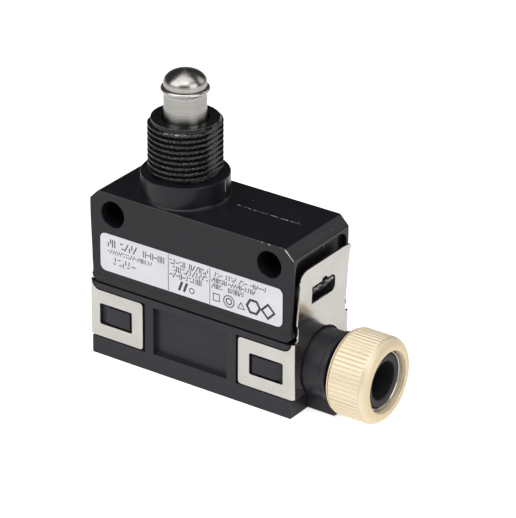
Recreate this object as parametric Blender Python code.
"""Horizontal limit switch with a threaded bushing, a pin plunger and a cable gland.

Every size below is in millimetres, and MM turns it into metres. +Z is up. The origin is the
middle of the flat underside of the terminal cover. The plunger travels along Z, the cable
leaves along +X, and the name plate faces -Y.
"""

import math

import bmesh
import bpy
from mathutils import Vector

MM = 0.001

# Clearance between pieces that touch on the real switch.
GAP = 0.3
# How far a cutter reaches past the surface that it opens.
REACH = 1.0
# How far a joined shape sinks into the one that carries it.
SINK = 0.5
# Sides of a turned shape, and steps in a quarter of a small corner.
ROUND = 28
SMALL_ROUND = 20
HOLE_ROUND = 16
ARC_STEPS = 5
CORNER_STEPS = 4
SMALL_CORNER_STEPS = 3
SHARP_ANGLE = math.radians(35)
MERGE_DISTANCE = 1e-4
TURN_TO_X = (0, math.pi / 2, 0)

# Case: die-cast block, open underneath.
DEPTH = 18.0
HALF_DEPTH = DEPTH / 2
CASE_HALF_LENGTH = 22.75
CASE_TOP = 34.1
CASE_BOTTOM = 15.3
TOP_CHAMFER = 1.9
CASE_WAIST = 22.3
WAIST_TOP = 29.3
LIP_HALF_LENGTH = 22.5
LIP_TOP = 17.25
LIP_SLOPE = 0.35
LIP_CHAMFER_WIDTH = 1.2
LIP_CHAMFER_HEIGHT = 0.9
WALL = 1.6
CAVITY_HALF_LENGTH = 20.2
CAVITY_SHOULDER = 25.9
CAVITY_NECK = 13.4
CEILING = 32.3
END_RECESS_FLOOR = 21.7
END_RECESS_TOP = 31.4
END_RECESS_HALF_WIDTH = 8.1
END_RECESS_CORNER = 1.8
LUG_LOW = 21.9
LUG_HIGH = 24.7
LUG_TIP = 23.4
LUG_LAND = 0.6
LUG_INNER = 0.5
LUG_OUTER = 3.2

# Two plain holes for the mounting bolts, right through along Y.
MOUNT_PITCH = 35.0
MOUNT_HEIGHT = 30.0
MOUNT_RADIUS = 2.6

# Threaded bushing that guides the plunger.
PLUNGER_X = -7.4
COLLAR_RADIUS = 8.35
COLLAR_TOP = 38.6
COLLAR_FILLET = 0.6
THREAD_RADIUS = 7.0
BUSHING_TOP = 49.3
BUSHING_CHAMFER = 0.6
BUSHING_BORE = 5.4
BUSHING_MOUTH_CHAMFER = 0.3
LIP_THICKNESS = 0.7
LIP_BORE = 4.35

# Coil springs: points in one turn, and sides of the wire.
COIL_STEPS = 10
COIL_SIDES = 5

# Plunger and what moves it.
PLUNGER_RADIUS = 4.0
PLUNGER_SHOULDER = 56.2
PLUNGER_APEX = 58.5
DOME_STEPS = 6
FLANGE_LOW = 40.3
FLANGE_HIGH = 41.7
FLANGE_RADIUS = 4.95
STEM_RADIUS = 1.5
STEM_LOW = 30.3
RING_HEIGHT = 54.95
RING_WIRE = 0.39
RING_SIDES = 6
RING_RADIUS = 4.15
RING_GROOVE_ROOM = 0.08
RING_GROOVE_DEPTH = 0.3
INSERT_RADIUS = 5.3
GUIDE_HIGH = 46.8
GUIDE_BORE = 4.1
SEAL_HIGH = 48.3
SEAL_LIP_HEIGHT = 0.4
SEAL_LIP_WIDTH = 0.6
SEAT_LOW = 31.3
SEAT_HIGH = 32.0
SEAT_RADIUS = 5.8
SEAT_BORE = 1.8
RETURN_SPRING_RADIUS = 3.6
RETURN_SPRING_WIRE = 0.25
RETURN_SPRING_TURNS = 4.5

# Switch block and its contacts.
BLOCK_HALF_LENGTH = 10.5
BLOCK_HALF_DEPTH = 7.0
BLOCK_LOW = 18.5
BLOCK_SHOULDER = 25.6
BLOCK_TOP = 30.9
TOWER_HALF_LENGTH = 5.4
CHAMBER_HALF_LENGTH = 7.5
CHAMBER_LOW = 19.5
CHAMBER_HIGH = 25.1
CHAMBER_REAR_WALL = 1.0
BLOCK_COVER_THICKNESS = 1.0
EAR_REACH = 17.2
EAR_LOW = 26.3
EAR_THICKNESS = 1.6
BLOCK_SCREW_OFFSET = 14.4
BLOCK_SCREW_Y = 4.2
BLOCK_SCREW_RADIUS = 0.95
BLOCK_SCREW_HEAD_RADIUS = 1.9
BLOCK_SCREW_HEAD_HEIGHT = 1.3
BLOCK_SCREW_TIP = 31.0
POST_RADIUS = 2.5
POST_BORE = 1.15

PUSHER_RADIUS = 2.6
PUSHER_HOLE = 2.75
PUSHER_TOP = 30.7
PUSHER_LOW = 18.8
PUSHER_BORE = 1.85
PUSHER_BORE_FLOOR = 23.0
PUSHER_FLANGE_RADIUS = 3.6
PUSHER_FLANGE_LOW = 23.9
PUSHER_FLANGE_HIGH = 24.7
BRIDGE_LOW = 23.0
BRIDGE_HIGH = 23.6
BRIDGE_HALF_LENGTH = 6.2
BRIDGE_HALF_WIDTH = 4.9
TIP_RADIUS = 0.8
TIP_X = 5.1
TIP_Y = 3.5
TIP_HEIGHT = 0.2
OVERTRAVEL_SPRING_RADIUS = 1.35
OVERTRAVEL_SPRING_WIRE = 0.17
OVERTRAVEL_SPRING_TURNS = 6.5
CONTACT_SPRING_RADIUS = 3.15
CONTACT_SPRING_WIRE = 0.2
CONTACT_SPRING_TURNS = 2.5
SPRING_END_GAP = 0.15

TERMINAL_THICKNESS = 0.7
TERMINAL_HALF_WIDTH = 2.2
TERMINAL_OUTER = 11.6
TERMINAL_FOOT_LOW = 17.5
TERMINAL_FOOT_INNER = 6.4
TERMINAL_ARM_INNER = 4.3
CLOSED_ARM_LOW = 24.1
OPEN_ARM_LOW = 20.4
TERMINAL_SCREW_OFFSET = 8.9
TERMINAL_SCREW_RADIUS = 1.1
TERMINAL_SCREW_HEAD_RADIUS = 2.3
TERMINAL_SCREW_HEAD_CHAMFER = 0.4
TERMINAL_SCREW_HEAD_LOW = 15.7
TERMINAL_SCREW_HEAD_HIGH = 17.2
TERMINAL_SCREW_TIP = 20.1
TERMINAL_SCREW_HOLE = 1.25
TERMINAL_SCREW_HOLE_TOP = 20.2
SCREW_SLOT_WIDTH = 0.6
SCREW_SLOT_DEPTH = 0.7

# Terminal cover, open on top.
COVER_HALF_LENGTH = 22.55
COVER_TOP = 15.0
COVER_INNER_HALF_LENGTH = 19.9
COVER_INNER_HALF_DEPTH = 6.9
COVER_FLOOR = 1.8
COVER_END_RECESS = 22.4
PANEL_LEFT = -8.4
PANEL_RIGHT = 8.35
PANEL_LOW = 3.8
PANEL_HIGH = 13.5
PANEL_DEPTH = 1.0
PLATE_RECESS_INNER = 10.3
PLATE_RECESS_LOW = 3.6
PLATE_RECESS_ROOM = 0.25
PLATE_RECESS_DEPTH = 0.7
BOSS_INNER = 13.9
BOSS_OUTER = 20.1
BOSS_LOW = 6.9
BOSS_HIGH = 10.4
BOSS_RAMP = 1.4
BOSS_STAND = 0.6

# Gasket between the case and the cover.
GASKET_HALF_LENGTH = 21.3
GASKET_HALF_DEPTH = 8.5
GASKET_WIDTH = 0.8
GASKET_CORNER = 1.0
GASKET_INNER_CORNER = 0.5
GASKET_LOW = 14.4
GASKET_HIGH = 15.15
GROOVE_FLOOR = 14.1
GROOVE_SIDE_GAP = 0.15

# Spring-steel lock plates, one at each end.
PLATE_THICKNESS = 0.4
PLATE_END = 23.1
PLATE_BEND = 0.7
FLANGE_INNER = 10.85
PLATE_LOW = 3.9
PLATE_FLANGE_TOP = 13.5
PLATE_SHOULDER = 15.2
PLATE_FLANGE_FILLET = 1.8
PLATE_FILLET_EDGE = 22.55
PLATE_WINDOW_INNER = 13.3
PLATE_WINDOW_OUTER = 20.75
PLATE_WINDOW_LOW = 6.5
PLATE_WINDOW_HIGH = 10.85
PLATE_HOLE_RADIUS = 6.8
FLEX_HEIGHT = 16.55
FLEX_SPLIT = 0.3
TONGUE_HALF_WIDTH = 7.95
TONGUE_FRONT_TOP = -7.6
TONGUE_REAR_FOOT = 7.8
TONGUE_REAR_TOP = 8.3
TONGUE_TOP = 29.2
TONGUE_LEAN = 0.4
TONGUE_FRONT_CORNER = 2.3
TONGUE_REAR_CORNER = 0.45
TONGUE_WAIST = 7.6
TONGUE_WAIST_LOW = 15.6
TONGUE_WAIST_HIGH = 18.1
TONGUE_WAIST_SLOPE = 0.35
TONGUE_WINDOW_FRONT = -3.7
TONGUE_WINDOW_REAR = 3.85
TONGUE_WINDOW_LOW = 21.5
TONGUE_WINDOW_HIGH = 25.0
TONGUE_WINDOW_CORNER = 0.9
TONGUE_NOTCH_Y = 0.3
TONGUE_NOTCH_Z = 24.55
TONGUE_NOTCH_RADIUS = 1.1
TONGUE_NOTCH_START = 25

# Cable gland on the +X end of the cover.
GLAND_HEIGHT = 8.46
NECK_RADIUS = 6.4
NECK_STOP_RADIUS = 6.7
NECK_STOP_START = 26.8
NECK_STOP_END = 28.1
NECK_STOP_CHAMFER = 0.2
NECK_THREAD_RADIUS = 6.25
NECK_END = 33.6
NECK_BORE = 5.4
NECK_BORE_FLOOR = 25.6
CABLE_RADIUS = 3.74
NECK_CABLE_BORE = 4.14
FOOT_HALF_WIDTH = 3.84
FOOT_LOW = 0.2
FOOT_END = 28.6
RUBBER_RADIUS = 5.1
RUBBER_START = 25.9
RUBBER_END = 36.7
RUBBER_RIM_RADIUS = 6.1
RUBBER_RIM_START = 33.9
RUBBER_RIM_END = 34.9
WASHER_BORE = 5.3
WASHER_RADIUS = 6.4
WASHER_START = 35.2
WASHER_END = 35.8
WASHER_COLLAR_RADIUS = 5.65
WASHER_COLLAR_END = 36.6
NUT_RADIUS = 8.3
NUT_START = 29.5
NUT_END = 37.7
NUT_THREAD_RADIUS = 6.6
NUT_LIP_START = 36.1
NUT_MOUTH = 5.93
NUT_FRONT_ROUND = 1.9
NUT_REAR_CHAMFER = 0.4
NUT_REAR_LIP = 0.8
NUT_ROUND = 36

# Name plate stuck to the front of the case.
NAME_PLATE_LEFT = -20.3
NAME_PLATE_RIGHT = 20.6
NAME_PLATE_LOW = 18.2
NAME_PLATE_HIGH = 25.9
NAME_PLATE_CORNER = 1.2
NAME_PLATE_THICKNESS = 0.15
NAME_PLATE_GAP = 0.03


def clear_scene():
    for obj in list(bpy.data.objects):
        bpy.data.objects.remove(obj)


def set_material(obj, colour, roughness, metallic=0.0):
    material = bpy.data.materials.new(obj.name)
    material.use_nodes = True
    shader = material.node_tree.nodes["Principled BSDF"]
    shader.inputs["Base Color"].default_value = (*colour, 1.0)
    shader.inputs["Roughness"].default_value = roughness
    shader.inputs["Metallic"].default_value = metallic
    material.diffuse_color = (*colour, 1.0)
    obj.data.materials.append(material)


def charcoal_paint(obj):
    set_material(obj, (0.042, 0.042, 0.047), 0.42)


def charcoal_moulding(obj):
    set_material(obj, (0.060, 0.058, 0.068), 0.5)


def stainless_steel(obj):
    set_material(obj, (0.68, 0.66, 0.62), 0.28, 1.0)


def spring_steel(obj):
    set_material(obj, (0.55, 0.55, 0.54), 0.35, 1.0)


def brass(obj):
    set_material(obj, (0.78, 0.60, 0.32), 0.32, 1.0)


def gold_anodising(obj):
    set_material(obj, (0.90, 0.76, 0.52), 0.35, 1.0)


def black_rubber(obj):
    set_material(obj, (0.035, 0.034, 0.035), 0.75)


def phenolic(obj):
    set_material(obj, (0.20, 0.06, 0.035), 0.55)


def white_acetal(obj):
    set_material(obj, (0.80, 0.79, 0.75), 0.45)


def white_foil(obj):
    set_material(obj, (0.86, 0.86, 0.89), 0.4)


def add_object(name, bm, origin=(0, 0, 0), turn=(0, 0, 0)):
    """Makes an object from a bmesh in millimetres, placed at origin and turned there."""
    bmesh.ops.recalc_face_normals(bm, faces=bm.faces)
    bmesh.ops.scale(bm, vec=(MM, MM, MM), verts=bm.verts)
    mesh = bpy.data.meshes.new(name)
    bm.to_mesh(mesh)
    bm.free()
    mesh.shade_smooth()
    mesh.set_sharp_from_angle(angle=SHARP_ANGLE)
    obj = bpy.data.objects.new(name, mesh)
    obj.location = Vector(origin) * MM
    obj.rotation_euler = turn
    bpy.context.scene.collection.objects.link(obj)
    return obj


def box(low, high):
    bm = bmesh.new()
    bmesh.ops.create_cube(bm, size=1.0)
    bmesh.ops.scale(bm, vec=Vector(high) - Vector(low), verts=bm.verts)
    bmesh.ops.translate(bm, vec=(Vector(low) + Vector(high)) / 2, verts=bm.verts)
    return bm


def prism(outline, low, high, along):
    """Extrudes a closed outline from low to high along X, Y or Z."""
    place = {
        "X": lambda p: (low, p[0], p[1]),
        "Y": lambda p: (p[0], low, p[1]),
        "Z": lambda p: (p[0], p[1], low),
    }[along]
    step = {"X": (high - low, 0, 0), "Y": (0, high - low, 0), "Z": (0, 0, high - low)}[along]
    bm = bmesh.new()
    face = bm.faces.new([bm.verts.new(place(point)) for point in outline])
    extruded = bmesh.ops.extrude_face_region(bm, geom=[face])
    moved = [item for item in extruded["geom"] if isinstance(item, bmesh.types.BMVert)]
    bmesh.ops.translate(bm, vec=step, verts=moved)
    return bm


def turned(profile, ring=False, segments=ROUND):
    """Turns a profile of (radius, height) points about Z. A ring's profile closes on itself."""
    bm = bmesh.new()
    verts = [bm.verts.new((radius, 0, height)) for radius, height in profile]
    edges = [bm.edges.new(pair) for pair in zip(verts, verts[1:])]
    if ring:
        edges.append(bm.edges.new((verts[-1], verts[0])))
    bmesh.ops.spin(
        bm,
        geom=verts + edges,
        cent=(0, 0, 0),
        axis=(0, 0, 1),
        angle=math.tau,
        steps=segments,
        use_merge=True,
    )
    bmesh.ops.remove_doubles(bm, verts=bm.verts, dist=MERGE_DISTANCE)
    return bm


def tube(inner, outer, low, high, segments=ROUND):
    profile = [(inner, low), (outer, low), (outer, high), (inner, high)]
    return turned(profile, ring=True, segments=segments)


def rod(radius, low, high, segments=ROUND):
    return turned([(0, low), (radius, low), (radius, high), (0, high)], segments=segments)


def arc(centre, radius, start, end, steps=ARC_STEPS):
    """Points on an arc, from the start angle to the end angle in degrees."""
    angles = [math.radians(start + (end - start) * i / steps) for i in range(steps + 1)]
    return [
        (centre[0] + radius * math.cos(angle), centre[1] + radius * math.sin(angle))
        for angle in angles
    ]


def rounded_rectangle(left, low, right, high, radius, steps=CORNER_STEPS):
    return (
        arc((right - radius, low + radius), radius, -90, 0, steps)
        + arc((right - radius, high - radius), radius, 0, 90, steps)
        + arc((left + radius, high - radius), radius, 90, 180, steps)
        + arc((left + radius, low + radius), radius, 180, 270, steps)
    )


def mirrored(outline):
    """The outline mirrored left to right."""
    return [(-x, y) for x, y in outline]


def coil(radius, wire, low, high, turns):
    """A round-wire spring about Z that fills the height from low to high."""
    count = round(turns * COIL_STEPS)
    bottom = low + wire
    rise = high - low - 2 * wire
    bm = bmesh.new()
    rings = []
    for i in range(count + 1):
        angle = math.tau * turns * i / count
        middle = bottom + rise * i / count
        ring = []
        for side in range(COIL_SIDES):
            tilt = math.tau * side / COIL_SIDES
            reach = radius + wire * math.cos(tilt)
            height = middle + wire * math.sin(tilt)
            ring.append(bm.verts.new((reach * math.cos(angle), reach * math.sin(angle), height)))
        rings.append(ring)
    for first, second in zip(rings, rings[1:]):
        for side in range(COIL_SIDES):
            after = (side + 1) % COIL_SIDES
            bm.faces.new((first[side], first[after], second[after], second[side]))
    bm.faces.new(rings[0])
    bm.faces.new(rings[-1])
    return bm


def combine(target, bm, operation, origin=(0, 0, 0), turn=(0, 0, 0)):
    """Joins a helper shape to the target, or cuts it away, with a Boolean."""
    count = len(target.modifiers) + 1
    helper = add_object(f"{target.name}_{operation.lower()}_{count}", bm, origin, turn)
    helper.hide_render = True
    helper.display_type = "WIRE"
    modifier = target.modifiers.new(f"{operation.title()} {count}", "BOOLEAN")
    modifier.operation = operation
    modifier.solver = "EXACT"
    modifier.object = helper


def join(target, bm, origin=(0, 0, 0), turn=(0, 0, 0)):
    combine(target, bm, "UNION", origin, turn)


def cut(target, bm, origin=(0, 0, 0), turn=(0, 0, 0)):
    combine(target, bm, "DIFFERENCE", origin, turn)


def case_outline():
    """The case's end profile in X and Z, mirrored about the middle."""
    right = [
        (LIP_HALF_LENGTH - LIP_CHAMFER_WIDTH, CASE_BOTTOM),
        (LIP_HALF_LENGTH, CASE_BOTTOM + LIP_CHAMFER_HEIGHT),
        (LIP_HALF_LENGTH, LIP_TOP - LIP_SLOPE),
        (CASE_WAIST, LIP_TOP),
        (CASE_HALF_LENGTH, WAIST_TOP),
        (CASE_HALF_LENGTH, CASE_TOP - TOP_CHAMFER),
        (CASE_HALF_LENGTH - TOP_CHAMFER, CASE_TOP),
    ]
    return right + mirrored(right)[::-1]


def bushing_profile():
    base = CASE_TOP - REACH
    foot = (COLLAR_RADIUS + COLLAR_FILLET, CASE_TOP + COLLAR_FILLET)
    return (
        [(0, base), (COLLAR_RADIUS + COLLAR_FILLET, base)]
        + arc(foot, COLLAR_FILLET, 270, 180, SMALL_CORNER_STEPS)
        + [
            (COLLAR_RADIUS, COLLAR_TOP),
            (THREAD_RADIUS, COLLAR_TOP),
            (THREAD_RADIUS, BUSHING_TOP - BUSHING_CHAMFER),
            (THREAD_RADIUS - BUSHING_CHAMFER, BUSHING_TOP),
            (0, BUSHING_TOP),
        ]
    )


def bushing_bore_profile():
    mouth = BUSHING_TOP - BUSHING_MOUTH_CHAMFER
    return [
        (0, CEILING - REACH),
        (BUSHING_BORE, CEILING - REACH),
        (BUSHING_BORE, BUSHING_TOP - LIP_THICKNESS),
        (LIP_BORE, BUSHING_TOP - LIP_THICKNESS),
        (LIP_BORE, mouth),
        (LIP_BORE + BUSHING_MOUTH_CHAMFER + REACH, BUSHING_TOP + REACH),
        (0, BUSHING_TOP + REACH),
    ]


def lug_outline(side):
    """A hook lug in X and Z: a ramp that rises to a flat ledge on top."""
    root = END_RECESS_FLOOR - SINK
    outline = [
        (root, LUG_LOW),
        (END_RECESS_FLOOR, LUG_LOW),
        (LUG_TIP, LUG_HIGH - LUG_LAND),
        (LUG_TIP, LUG_HIGH),
        (root, LUG_HIGH),
    ]
    return outline if side > 0 else mirrored(outline)


def end_recess_outline():
    """The recess behind a tongue in Y and Z, with rounded top corners."""
    half = END_RECESS_HALF_WIDTH
    side, high = half - END_RECESS_CORNER, END_RECESS_TOP - END_RECESS_CORNER
    return (
        [(-half, LIP_TOP), (half, LIP_TOP)]
        + arc((side, high), END_RECESS_CORNER, 0, 90)
        + arc((-side, high), END_RECESS_CORNER, 90, 180)
    )


def make_case():
    case = add_object("case", prism(case_outline(), -HALF_DEPTH, HALF_DEPTH, "Y"))
    charcoal_paint(case)
    join(case, turned(bushing_profile()), origin=(PLUNGER_X, 0, 0))
    inner_depth = HALF_DEPTH - WALL
    low_room = (
        (-CAVITY_HALF_LENGTH, -inner_depth, CASE_BOTTOM - REACH),
        (CAVITY_HALF_LENGTH, inner_depth, CAVITY_SHOULDER),
    )
    high_room = (
        (-CAVITY_NECK, -inner_depth, CAVITY_SHOULDER - REACH),
        (CAVITY_NECK, inner_depth, CEILING),
    )
    cut(case, box(*low_room))
    cut(case, box(*high_room))
    cut(case, turned(bushing_bore_profile()), origin=(PLUNGER_X, 0, 0))
    for side in (-1, 1):
        centre = (side * MOUNT_PITCH / 2, 0, MOUNT_HEIGHT)
        hole = rod(MOUNT_RADIUS, -HALF_DEPTH - REACH, HALF_DEPTH + REACH)
        cut(case, hole, origin=centre, turn=(math.pi / 2, 0, 0))
    for side in (-1, 1):
        near, far = sorted((side * END_RECESS_FLOOR, side * (CASE_HALF_LENGTH + REACH)))
        cut(case, prism(end_recess_outline(), near, far, "X"))
        join(case, prism(lug_outline(side), LUG_INNER, LUG_OUTER, "Y"))
        join(case, prism(lug_outline(side), -LUG_OUTER, -LUG_INNER, "Y"))
    for side in (-1, 1):
        post_low = EAR_LOW + EAR_THICKNESS + GAP
        post = tube(POST_BORE, POST_RADIUS, post_low, CEILING + SINK, SMALL_ROUND)
        join(case, post, origin=(PLUNGER_X + BLOCK_SCREW_OFFSET, side * BLOCK_SCREW_Y, 0))


def make_cover():
    body = box((-COVER_HALF_LENGTH, -HALF_DEPTH, 0), (COVER_HALF_LENGTH, HALF_DEPTH, COVER_TOP))
    cover = add_object("terminal_cover", body)
    charcoal_moulding(cover)
    foot_start = COVER_INNER_HALF_LENGTH + SINK
    foot_size = (
        (foot_start, -FOOT_HALF_WIDTH, FOOT_LOW),
        (FOOT_END, FOOT_HALF_WIDTH, GLAND_HEIGHT),
    )
    neck = turned(
        [
            (0, foot_start),
            (NECK_RADIUS, foot_start),
            (NECK_RADIUS, NECK_STOP_START),
            (NECK_STOP_RADIUS, NECK_STOP_START + NECK_STOP_CHAMFER),
            (NECK_STOP_RADIUS, NECK_STOP_END),
            (NECK_THREAD_RADIUS, NECK_STOP_END),
            (NECK_THREAD_RADIUS, NECK_END),
            (0, NECK_END),
        ]
    )
    cut_plate_recesses(cover)
    join(cover, box(*foot_size))
    join(cover, neck, origin=(0, 0, GLAND_HEIGHT), turn=TURN_TO_X)
    room = (
        (-COVER_INNER_HALF_LENGTH, -COVER_INNER_HALF_DEPTH, COVER_FLOOR),
        (COVER_INNER_HALF_LENGTH, COVER_INNER_HALF_DEPTH, COVER_TOP + REACH),
    )
    cut(cover, box(*room))
    bore = turned(
        [
            (0, COVER_INNER_HALF_LENGTH - REACH),
            (NECK_CABLE_BORE, COVER_INNER_HALF_LENGTH - REACH),
            (NECK_CABLE_BORE, NECK_BORE_FLOOR),
            (NECK_BORE, NECK_BORE_FLOOR),
            (NECK_BORE, NECK_END + REACH),
            (0, NECK_END + REACH),
        ]
    )
    cut(cover, bore, origin=(0, 0, GLAND_HEIGHT), turn=TURN_TO_X)
    panel = box(
        (PANEL_LEFT, -HALF_DEPTH - REACH, PANEL_LOW),
        (PANEL_RIGHT, -HALF_DEPTH + PANEL_DEPTH, PANEL_HIGH),
    )
    cut(cover, panel)
    cut(cover, gasket_ring(GROOVE_FLOOR, COVER_TOP + REACH, GROOVE_SIDE_GAP))


def plate_recess_outline(end):
    """The recess for a lock plate's flange in X and Z, with room round the flange."""
    far = COVER_HALF_LENGTH + REACH
    right = PLATE_FILLET_EDGE
    top = COVER_TOP + REACH
    corner = (right - PLATE_FLANGE_FILLET, PLATE_FLANGE_TOP + PLATE_FLANGE_FILLET)
    outline = (
        [(PLATE_RECESS_INNER, PLATE_RECESS_LOW), (far, PLATE_RECESS_LOW), (far, top)]
        + [(right - PLATE_RECESS_ROOM, top)]
        + arc(corner, PLATE_FLANGE_FILLET - PLATE_RECESS_ROOM, 0, -90, CORNER_STEPS)
        + [(PLATE_RECESS_INNER, PLATE_FLANGE_TOP + PLATE_RECESS_ROOM)]
    )
    return outline if end > 0 else mirrored(outline)


def cut_plate_recesses(cover):
    """Recesses that take the lock plates, with a ramped boss left standing in each window."""
    floor = HALF_DEPTH - PLATE_RECESS_DEPTH
    outside = HALF_DEPTH + REACH
    for end in (-1, 1):
        for side in (-1, 1):
            recess = prism(plate_recess_outline(end), side * floor, side * outside, "Y")
            cut(cover, recess)
            boss = [
                (end * BOSS_INNER, side * (floor - SINK)),
                (end * BOSS_OUTER, side * (floor - SINK)),
                (end * BOSS_OUTER, side * floor),
                (end * (BOSS_OUTER - BOSS_RAMP), side * (floor + BOSS_STAND)),
                (end * BOSS_INNER, side * (floor + BOSS_STAND)),
            ]
            join(cover, prism(boss, BOSS_LOW, BOSS_HIGH, "Z"))
        low, high = ordered(
            end * COVER_END_RECESS, end * (COVER_HALF_LENGTH + REACH), -outside, outside
        )
        cut(cover, box(low + (PLATE_RECESS_LOW,), high + (COVER_TOP + REACH,)))


def ordered(x_one, x_two, y_one, y_two):
    """The low corner and the high corner, in X and Y, of two given corners."""
    return (min(x_one, x_two), min(y_one, y_two)), (max(x_one, x_two), max(y_one, y_two))


def gasket_ring(low, high, spread=0.0):
    """A rectangular ring with rounded corners, made wider on both sides by spread."""
    outer = rounded_rectangle(
        -GASKET_HALF_LENGTH - spread,
        -GASKET_HALF_DEPTH - spread,
        GASKET_HALF_LENGTH + spread,
        GASKET_HALF_DEPTH + spread,
        GASKET_CORNER,
        SMALL_CORNER_STEPS,
    )
    inner_length = GASKET_HALF_LENGTH - GASKET_WIDTH - spread
    inner_depth = GASKET_HALF_DEPTH - GASKET_WIDTH - spread
    inner = rounded_rectangle(
        -inner_length,
        -inner_depth,
        inner_length,
        inner_depth,
        GASKET_INNER_CORNER,
        SMALL_CORNER_STEPS,
    )
    bm = bmesh.new()
    rings = [
        [bm.verts.new((x, y, height)) for x, y in outline]
        for outline, height in ((outer, low), (outer, high), (inner, high), (inner, low))
    ]
    for first, second in zip(rings, rings[1:] + rings[:1]):
        for i in range(len(first)):
            after = (i + 1) % len(first)
            bm.faces.new((first[i], first[after], second[after], second[i]))
    return bm


def make_gasket():
    gasket = add_object("cover_gasket", gasket_ring(GASKET_LOW, GASKET_HIGH))
    black_rubber(gasket)


def make_name_plate():
    outline = rounded_rectangle(
        NAME_PLATE_LEFT, NAME_PLATE_LOW, NAME_PLATE_RIGHT, NAME_PLATE_HIGH, NAME_PLATE_CORNER
    )
    back = -HALF_DEPTH - NAME_PLATE_GAP
    plate = add_object("name_plate", prism(outline, back - NAME_PLATE_THICKNESS, back, "Y"))
    white_foil(plate)


def plate_plan(end):
    """The lock plate seen from above: a channel that wraps the end of the cover."""
    bend = (PLATE_END - PLATE_BEND, HALF_DEPTH - PLATE_BEND)
    inner = PLATE_BEND - PLATE_THICKNESS
    half = (
        [(FLANGE_INNER, -HALF_DEPTH)]
        + arc((bend[0], -bend[1]), PLATE_BEND, 270, 360, CORNER_STEPS)
        + arc(bend, PLATE_BEND, 0, 90, CORNER_STEPS)
        + [(FLANGE_INNER, HALF_DEPTH), (FLANGE_INNER, HALF_DEPTH - PLATE_THICKNESS)]
        + arc(bend, inner, 90, 0, CORNER_STEPS)
        + arc((bend[0], -bend[1]), inner, 360, 270, CORNER_STEPS)
        + [(FLANGE_INNER, PLATE_THICKNESS - HALF_DEPTH)]
    )
    return half if end > 0 else mirrored(half)


def flange_top_cutter(end):
    """Takes the flanges down to their height, with a round inside corner by the end."""
    right = PLATE_FILLET_EDGE
    top = FLEX_HEIGHT + REACH
    corner = (right - PLATE_FLANGE_FILLET, PLATE_FLANGE_TOP + PLATE_FLANGE_FILLET)
    outline = (
        [(FLANGE_INNER - REACH, PLATE_FLANGE_TOP)]
        + arc(corner, PLATE_FLANGE_FILLET, 270, 360, CORNER_STEPS)
        + [(right, top), (FLANGE_INNER - REACH, top)]
    )
    return outline if end > 0 else mirrored(outline)


def make_lock_plate(name, end, with_hole):
    top = FLEX_HEIGHT - FLEX_SPLIT / 2
    plate = add_object(name, prism(plate_plan(end), PLATE_LOW, top, "Z"))
    stainless_steel(plate)
    far = HALF_DEPTH + REACH
    cut(plate, prism(flange_top_cutter(end), -far, far, "Y"))
    for side in (-1, 1):
        for edge, step in ((TONGUE_HALF_WIDTH, PLATE_SHOULDER), (TONGUE_WAIST, TONGUE_WAIST_LOW)):
            low, high = ordered(
                end * (FLANGE_INNER - REACH), end * (PLATE_END + REACH), side * edge, side * far
            )
            cut(plate, box(low + (step,), high + (FLEX_HEIGHT + REACH,)))
    low, high = ordered(end * PLATE_WINDOW_INNER, end * PLATE_WINDOW_OUTER, -far, far)
    cut(plate, box(low + (PLATE_WINDOW_LOW,), high + (PLATE_WINDOW_HIGH,)))
    if with_hole:
        hole = rod(PLATE_HOLE_RADIUS, PLATE_END - REACH, PLATE_END + REACH)
        cut(plate, hole, origin=(0, 0, GLAND_HEIGHT), turn=TURN_TO_X)


def tongue_outline(low, high):
    """The tongue in Y and Z, measured from the flex line: a waist, then up to its top corners."""
    front, rear = TONGUE_FRONT_CORNER, TONGUE_REAR_CORNER
    rear_centre = (TONGUE_REAR_TOP - rear, high - rear)
    front_centre = (TONGUE_FRONT_TOP + front, high - front)
    waist = TONGUE_WAIST_HIGH - FLEX_HEIGHT
    shoulder = waist + TONGUE_WAIST_SLOPE
    return (
        [(-TONGUE_WAIST, low), (TONGUE_WAIST, low), (TONGUE_WAIST, waist), (TONGUE_REAR_FOOT, shoulder)]
        + arc(rear_centre, rear, 0, 90, SMALL_CORNER_STEPS)
        + arc(front_centre, front, 90, 180)
        + [(-TONGUE_HALF_WIDTH, shoulder), (-TONGUE_WAIST, waist)]
    )


def tongue_window_outline():
    """The hook window in Y and Z, measured from the flex line: rounded at the rear, notched at its top."""
    low, high = TONGUE_WINDOW_LOW - FLEX_HEIGHT, TONGUE_WINDOW_HIGH - FLEX_HEIGHT
    corner = TONGUE_WINDOW_CORNER
    side = TONGUE_WINDOW_REAR - corner
    notch = (TONGUE_NOTCH_Y, TONGUE_NOTCH_Z - FLEX_HEIGHT)
    ends = (TONGUE_NOTCH_START, 180 - TONGUE_NOTCH_START)
    return (
        [(TONGUE_WINDOW_FRONT, low)]
        + arc((side, low + corner), corner, -90, 0, CORNER_STEPS)
        + arc((side, high - corner), corner, 0, 90, CORNER_STEPS)
        + arc(notch, TONGUE_NOTCH_RADIUS, *ends)
        + [(TONGUE_WINDOW_FRONT, high)]
    )


def make_tongue(name, end):
    """The sprung upper part of a lock plate. Its origin is on the flex line."""
    low = FLEX_SPLIT / 2
    high = TONGUE_TOP - FLEX_HEIGHT
    near, far = sorted((-end * PLATE_THICKNESS / 2, end * PLATE_THICKNESS / 2))
    bm = prism(tongue_outline(low, high), near, far, "X")
    for vert in bm.verts:
        vert.co.x += end * TONGUE_LEAN * vert.co.z / high
    middle = PLATE_END - PLATE_THICKNESS / 2
    origin = (end * middle, 0, FLEX_HEIGHT)
    tongue = add_object(name, bm, origin=origin)
    stainless_steel(tongue)
    cut(tongue, prism(tongue_window_outline(), -REACH, REACH, "X"), origin=origin)


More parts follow.
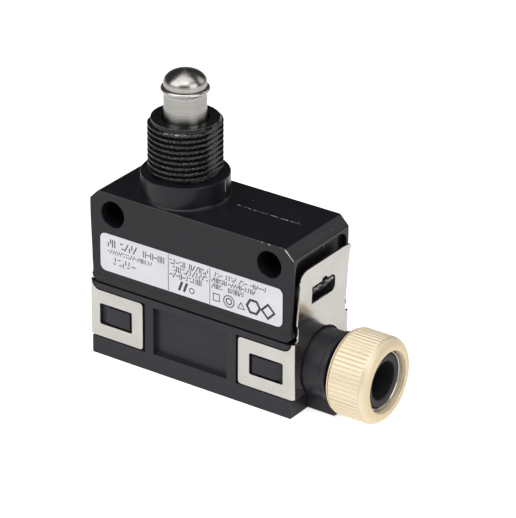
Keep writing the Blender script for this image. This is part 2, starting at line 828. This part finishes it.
def plunger_profile():
    """Half section of the plunger, measured from the bushing's top face."""
    groove = PLUNGER_RADIUS - RING_GROOVE_DEPTH
    half_groove = RING_WIRE + RING_GROOVE_ROOM
    dome = PLUNGER_APEX - PLUNGER_SHOULDER
    points = [
        (0, STEM_LOW),
        (STEM_RADIUS, STEM_LOW),
        (STEM_RADIUS, FLANGE_LOW),
        (FLANGE_RADIUS, FLANGE_LOW),
        (FLANGE_RADIUS, FLANGE_HIGH),
        (PLUNGER_RADIUS, FLANGE_HIGH),
        (PLUNGER_RADIUS, RING_HEIGHT - half_groove),
        (groove, RING_HEIGHT - half_groove),
        (groove, RING_HEIGHT + half_groove),
        (PLUNGER_RADIUS, RING_HEIGHT + half_groove),
    ]
    for step in range(DOME_STEPS):
        angle = math.pi / 2 * step / DOME_STEPS
        height = PLUNGER_SHOULDER + dome * math.sin(angle)
        points.append((PLUNGER_RADIUS * math.cos(angle), height))
    points.append((0, PLUNGER_APEX))
    return [(radius, height - BUSHING_TOP) for radius, height in points]


def make_plunger():
    plunger = add_object("plunger", turned(plunger_profile()), origin=(PLUNGER_X, 0, BUSHING_TOP))
    stainless_steel(plunger)
    ring_height = RING_HEIGHT - BUSHING_TOP
    last = 360 - 360 / RING_SIDES
    section = arc((RING_RADIUS, ring_height), RING_WIRE, 0, last, RING_SIDES - 1)
    ring = add_object("plunger_ring", turned(section, ring=True), origin=(PLUNGER_X, 0, BUSHING_TOP))
    spring_steel(ring)


def make_bushing_inserts():
    place = (PLUNGER_X, 0, 0)
    outer = INSERT_RADIUS
    guide_mesh = tube(GUIDE_BORE, outer, FLANGE_HIGH + GAP, GUIDE_HIGH)
    guide = add_object("guide_bush", guide_mesh, place)
    brass(guide)
    seal_low = GUIDE_HIGH + GAP
    seal_profile = [
        (GUIDE_BORE, seal_low + SEAL_LIP_HEIGHT),
        (GUIDE_BORE + SEAL_LIP_WIDTH, seal_low),
        (outer, seal_low),
        (outer, SEAL_HIGH),
        (GUIDE_BORE, SEAL_HIGH),
    ]
    seal = add_object("plunger_seal", turned(seal_profile, ring=True), place)
    black_rubber(seal)
    seat = add_object("spring_seat", tube(SEAT_BORE, SEAT_RADIUS, SEAT_LOW, SEAT_HIGH), place)
    spring_steel(seat)


def make_springs():
    place = (PLUNGER_X, 0, 0)
    gap = SPRING_END_GAP
    springs = (
        (
            "return_spring",
            RETURN_SPRING_RADIUS,
            RETURN_SPRING_WIRE,
            SEAT_HIGH + gap,
            FLANGE_LOW - gap,
            RETURN_SPRING_TURNS,
        ),
        (
            "overtravel_spring",
            OVERTRAVEL_SPRING_RADIUS,
            OVERTRAVEL_SPRING_WIRE,
            PUSHER_BORE_FLOOR + gap,
            STEM_LOW - gap,
            OVERTRAVEL_SPRING_TURNS,
        ),
        (
            "contact_spring",
            CONTACT_SPRING_RADIUS,
            CONTACT_SPRING_WIRE,
            CHAMBER_LOW + gap,
            BRIDGE_LOW - gap,
            CONTACT_SPRING_TURNS,
        ),
    )
    for name, radius, wire, low, high, turns in springs:
        spring = add_object(name, coil(radius, wire, low, high, turns), place)
        spring_steel(spring)


def make_pusher():
    profile = [
        (0, PUSHER_LOW),
        (PUSHER_RADIUS, PUSHER_LOW),
        (PUSHER_RADIUS, PUSHER_FLANGE_LOW),
        (PUSHER_FLANGE_RADIUS, PUSHER_FLANGE_LOW),
        (PUSHER_FLANGE_RADIUS, PUSHER_FLANGE_HIGH),
        (PUSHER_RADIUS, PUSHER_FLANGE_HIGH),
        (PUSHER_RADIUS, PUSHER_TOP),
        (PUSHER_BORE, PUSHER_TOP),
        (PUSHER_BORE, PUSHER_BORE_FLOOR),
        (0, PUSHER_BORE_FLOOR),
    ]
    pusher = add_object("contact_pusher", turned(profile), (PLUNGER_X, 0, 0))
    white_acetal(pusher)


def make_bridge():
    plate = box(
        (-BRIDGE_HALF_LENGTH, -BRIDGE_HALF_WIDTH, BRIDGE_LOW),
        (BRIDGE_HALF_LENGTH, BRIDGE_HALF_WIDTH, BRIDGE_HIGH),
    )
    place = (PLUNGER_X, 0, 0)
    bridge = add_object("contact_bridge", plate, place)
    brass(bridge)
    cut(bridge, rod(PUSHER_HOLE, BRIDGE_LOW - REACH, BRIDGE_HIGH + REACH), place)
    middle = (BRIDGE_LOW + BRIDGE_HIGH) / 2
    for side in (-1, 1):
        upper = rod(TIP_RADIUS, middle, BRIDGE_HIGH + TIP_HEIGHT, HOLE_ROUND)
        join(bridge, upper, origin=(PLUNGER_X + side * TIP_X, TIP_Y, 0))
        lower = rod(TIP_RADIUS, BRIDGE_LOW - TIP_HEIGHT, middle, HOLE_ROUND)
        join(bridge, lower, origin=(PLUNGER_X + side * TIP_X, -TIP_Y, 0))


def terminal_outline(side, arm_low):
    """A bent strip in X and Z: contact arm, upright and screw foot."""
    arm_high = arm_low + TERMINAL_THICKNESS
    upright = TERMINAL_OUTER - TERMINAL_THICKNESS
    foot_high = TERMINAL_FOOT_LOW + TERMINAL_THICKNESS
    points = [
        (TERMINAL_ARM_INNER, arm_low),
        (upright, arm_low),
        (upright, foot_high),
        (TERMINAL_FOOT_INNER, foot_high),
        (TERMINAL_FOOT_INNER, TERMINAL_FOOT_LOW),
        (TERMINAL_OUTER, TERMINAL_FOOT_LOW),
        (TERMINAL_OUTER, arm_high),
        (TERMINAL_ARM_INNER, arm_high),
    ]
    return [(PLUNGER_X + side * x, z) for x, z in points]


def terminals():
    """Name, side along X, centre in Y and arm height of each fixed terminal."""
    for side, place in ((-1, "left"), (1, "right")):
        yield f"closed_{place}", side, TIP_Y, CLOSED_ARM_LOW
        yield f"open_{place}", side, -TIP_Y, OPEN_ARM_LOW


def make_terminals():
    for name, side, middle, arm_low in terminals():
        outline = terminal_outline(side, arm_low)
        strip = prism(outline, middle - TERMINAL_HALF_WIDTH, middle + TERMINAL_HALF_WIDTH, "Y")
        terminal = add_object(f"terminal_{name}", strip)
        brass(terminal)
        screw_x = PLUNGER_X + side * TERMINAL_SCREW_OFFSET
        hole = rod(
            TERMINAL_SCREW_RADIUS + GAP,
            TERMINAL_FOOT_LOW - REACH / 2,
            TERMINAL_FOOT_LOW + TERMINAL_THICKNESS + REACH / 2,
            HOLE_ROUND,
        )
        cut(terminal, hole, origin=(screw_x, middle, 0))
        make_terminal_screw(f"terminal_screw_{name}", screw_x, middle)


def make_terminal_screw(name, x, y):
    chamfer = TERMINAL_SCREW_HEAD_CHAMFER
    profile = [
        (0, TERMINAL_SCREW_HEAD_LOW),
        (TERMINAL_SCREW_HEAD_RADIUS - chamfer, TERMINAL_SCREW_HEAD_LOW),
        (TERMINAL_SCREW_HEAD_RADIUS, TERMINAL_SCREW_HEAD_LOW + chamfer),
        (TERMINAL_SCREW_HEAD_RADIUS, TERMINAL_SCREW_HEAD_HIGH),
        (TERMINAL_SCREW_RADIUS, TERMINAL_SCREW_HEAD_HIGH),
        (TERMINAL_SCREW_RADIUS, TERMINAL_SCREW_TIP),
        (0, TERMINAL_SCREW_TIP),
    ]
    screw = add_object(name, turned(profile, segments=SMALL_ROUND), origin=(x, y, 0))
    brass(screw)
    cut_slot(screw, x, y, TERMINAL_SCREW_HEAD_LOW, TERMINAL_SCREW_HEAD_RADIUS)


def cut_slot(screw, x, y, head_low, head_radius):
    """A driver slot in the underside of a screw head."""
    slot = box(
        (-head_radius - REACH, -SCREW_SLOT_WIDTH / 2, head_low - REACH),
        (head_radius + REACH, SCREW_SLOT_WIDTH / 2, head_low + SCREW_SLOT_DEPTH),
    )
    cut(screw, slot, origin=(x, y, 0))


def make_block():
    place = (PLUNGER_X, 0, 0)
    front = BLOCK_COVER_THICKNESS + GAP - BLOCK_HALF_DEPTH
    lower = box(
        (-BLOCK_HALF_LENGTH, front, BLOCK_LOW), (BLOCK_HALF_LENGTH, BLOCK_HALF_DEPTH, BLOCK_SHOULDER)
    )
    block = add_object("switch_block", lower, place)
    phenolic(block)
    tower = box(
        (-TOWER_HALF_LENGTH, front, BLOCK_SHOULDER - REACH),
        (TOWER_HALF_LENGTH, BLOCK_HALF_DEPTH, BLOCK_TOP),
    )
    join(block, tower, place)
    ear = box(
        (TOWER_HALF_LENGTH - REACH, front, EAR_LOW),
        (EAR_REACH, BLOCK_HALF_DEPTH, EAR_LOW + EAR_THICKNESS),
    )
    join(block, ear, place)
    chamber = box(
        (-CHAMBER_HALF_LENGTH, front - REACH, CHAMBER_LOW),
        (CHAMBER_HALF_LENGTH, BLOCK_HALF_DEPTH - CHAMBER_REAR_WALL, CHAMBER_HIGH),
    )
    cut(block, chamber, place)
    cut(block, rod(PUSHER_HOLE, BLOCK_LOW - REACH, BLOCK_TOP + REACH), place)
    for _, side, middle, arm_low in terminals():
        low, high = ordered(
            side * (CHAMBER_HALF_LENGTH - REACH),
            side * (BLOCK_HALF_LENGTH + REACH),
            middle - TERMINAL_HALF_WIDTH - GAP,
            middle + TERMINAL_HALF_WIDTH + GAP,
        )
        slot = box(low + (arm_low - GAP,), high + (arm_low + TERMINAL_THICKNESS + GAP,))
        cut(block, slot, place)
        hole = rod(TERMINAL_SCREW_HOLE, BLOCK_LOW - REACH, TERMINAL_SCREW_HOLE_TOP, HOLE_ROUND)
        cut(block, hole, origin=(PLUNGER_X + side * TERMINAL_SCREW_OFFSET, middle, 0))
    ear_top = EAR_LOW + EAR_THICKNESS
    for side in (-1, 1):
        hole = rod(BLOCK_SCREW_RADIUS + GAP, EAR_LOW - REACH, ear_top + REACH, HOLE_ROUND)
        cut(block, hole, origin=(PLUNGER_X + BLOCK_SCREW_OFFSET, side * BLOCK_SCREW_Y, 0))


def make_block_cover():
    low, high = ordered(
        PLUNGER_X - BLOCK_HALF_LENGTH,
        PLUNGER_X + BLOCK_HALF_LENGTH,
        -BLOCK_HALF_DEPTH,
        BLOCK_COVER_THICKNESS - BLOCK_HALF_DEPTH,
    )
    cover = add_object("switch_block_cover", box(low + (BLOCK_LOW,), high + (BLOCK_SHOULDER,)))
    phenolic(cover)


def make_block_screws():
    head_high = EAR_LOW - GAP
    head_low = head_high - BLOCK_SCREW_HEAD_HEIGHT
    profile = [
        (0, head_low),
        (BLOCK_SCREW_HEAD_RADIUS, head_low),
        (BLOCK_SCREW_HEAD_RADIUS, head_high),
        (BLOCK_SCREW_RADIUS, head_high),
        (BLOCK_SCREW_RADIUS, BLOCK_SCREW_TIP),
        (0, BLOCK_SCREW_TIP),
    ]
    for side, place in ((-1, "front"), (1, "rear")):
        x = PLUNGER_X + BLOCK_SCREW_OFFSET
        y = side * BLOCK_SCREW_Y
        mesh = turned(profile, segments=SMALL_ROUND)
        screw = add_object(f"block_screw_{place}", mesh, origin=(x, y, 0))
        spring_steel(screw)
        cut_slot(screw, x, y, head_low, BLOCK_SCREW_HEAD_RADIUS)


def make_gland():
    """Rubber, washer and nut, turned about the cable's axis."""
    place = (0, 0, GLAND_HEIGHT)
    rubber_profile = [
        (CABLE_RADIUS, RUBBER_START),
        (RUBBER_RADIUS, RUBBER_START),
        (RUBBER_RADIUS, RUBBER_RIM_START),
        (RUBBER_RIM_RADIUS, RUBBER_RIM_START),
        (RUBBER_RIM_RADIUS, RUBBER_RIM_END),
        (RUBBER_RADIUS, RUBBER_RIM_END),
        (RUBBER_RADIUS, RUBBER_END),
        (CABLE_RADIUS, RUBBER_END),
    ]
    rubber = add_object("gland_rubber", turned(rubber_profile, ring=True), place, TURN_TO_X)
    black_rubber(rubber)
    washer_profile = [
        (WASHER_BORE, WASHER_START),
        (WASHER_RADIUS, WASHER_START),
        (WASHER_RADIUS, WASHER_END),
        (WASHER_COLLAR_RADIUS, WASHER_END),
        (WASHER_COLLAR_RADIUS, WASHER_COLLAR_END),
        (WASHER_BORE, WASHER_COLLAR_END),
    ]
    washer = add_object("gland_washer", turned(washer_profile, ring=True), place, TURN_TO_X)
    stainless_steel(washer)
    round_centre = (NUT_RADIUS - NUT_FRONT_ROUND, NUT_END - NUT_FRONT_ROUND)
    nut_profile = (
        [
            (NUT_THREAD_RADIUS + GAP, NUT_START),
            (NUT_RADIUS - NUT_REAR_CHAMFER, NUT_START),
            (NUT_RADIUS, NUT_START + NUT_REAR_CHAMFER),
        ]
        + arc(round_centre, NUT_FRONT_ROUND, 0, 90)
        + [
            (NUT_MOUTH, NUT_END),
            (NUT_MOUTH, NUT_LIP_START),
            (NUT_THREAD_RADIUS, NUT_LIP_START),
            (NUT_THREAD_RADIUS, NUT_START + NUT_REAR_LIP),
        ]
    )
    nut_origin = (NUT_START, 0, GLAND_HEIGHT)
    nut_local = [(radius, height - NUT_START) for radius, height in nut_profile]
    nut_mesh = turned(nut_local, ring=True, segments=NUT_ROUND)
    nut = add_object("gland_nut", nut_mesh, nut_origin, TURN_TO_X)
    gold_anodising(nut)


def main():
    clear_scene()
    make_case()
    make_cover()
    make_gasket()
    make_name_plate()
    make_lock_plate("lock_plate_right", 1, with_hole=True)
    make_lock_plate("lock_plate_left", -1, with_hole=False)
    make_tongue("lock_tongue_right", 1)
    make_tongue("lock_tongue_left", -1)
    make_plunger()
    make_bushing_inserts()
    make_springs()
    make_pusher()
    make_bridge()
    make_terminals()
    make_block()
    make_block_cover()
    make_block_screws()
    make_gland()


main()
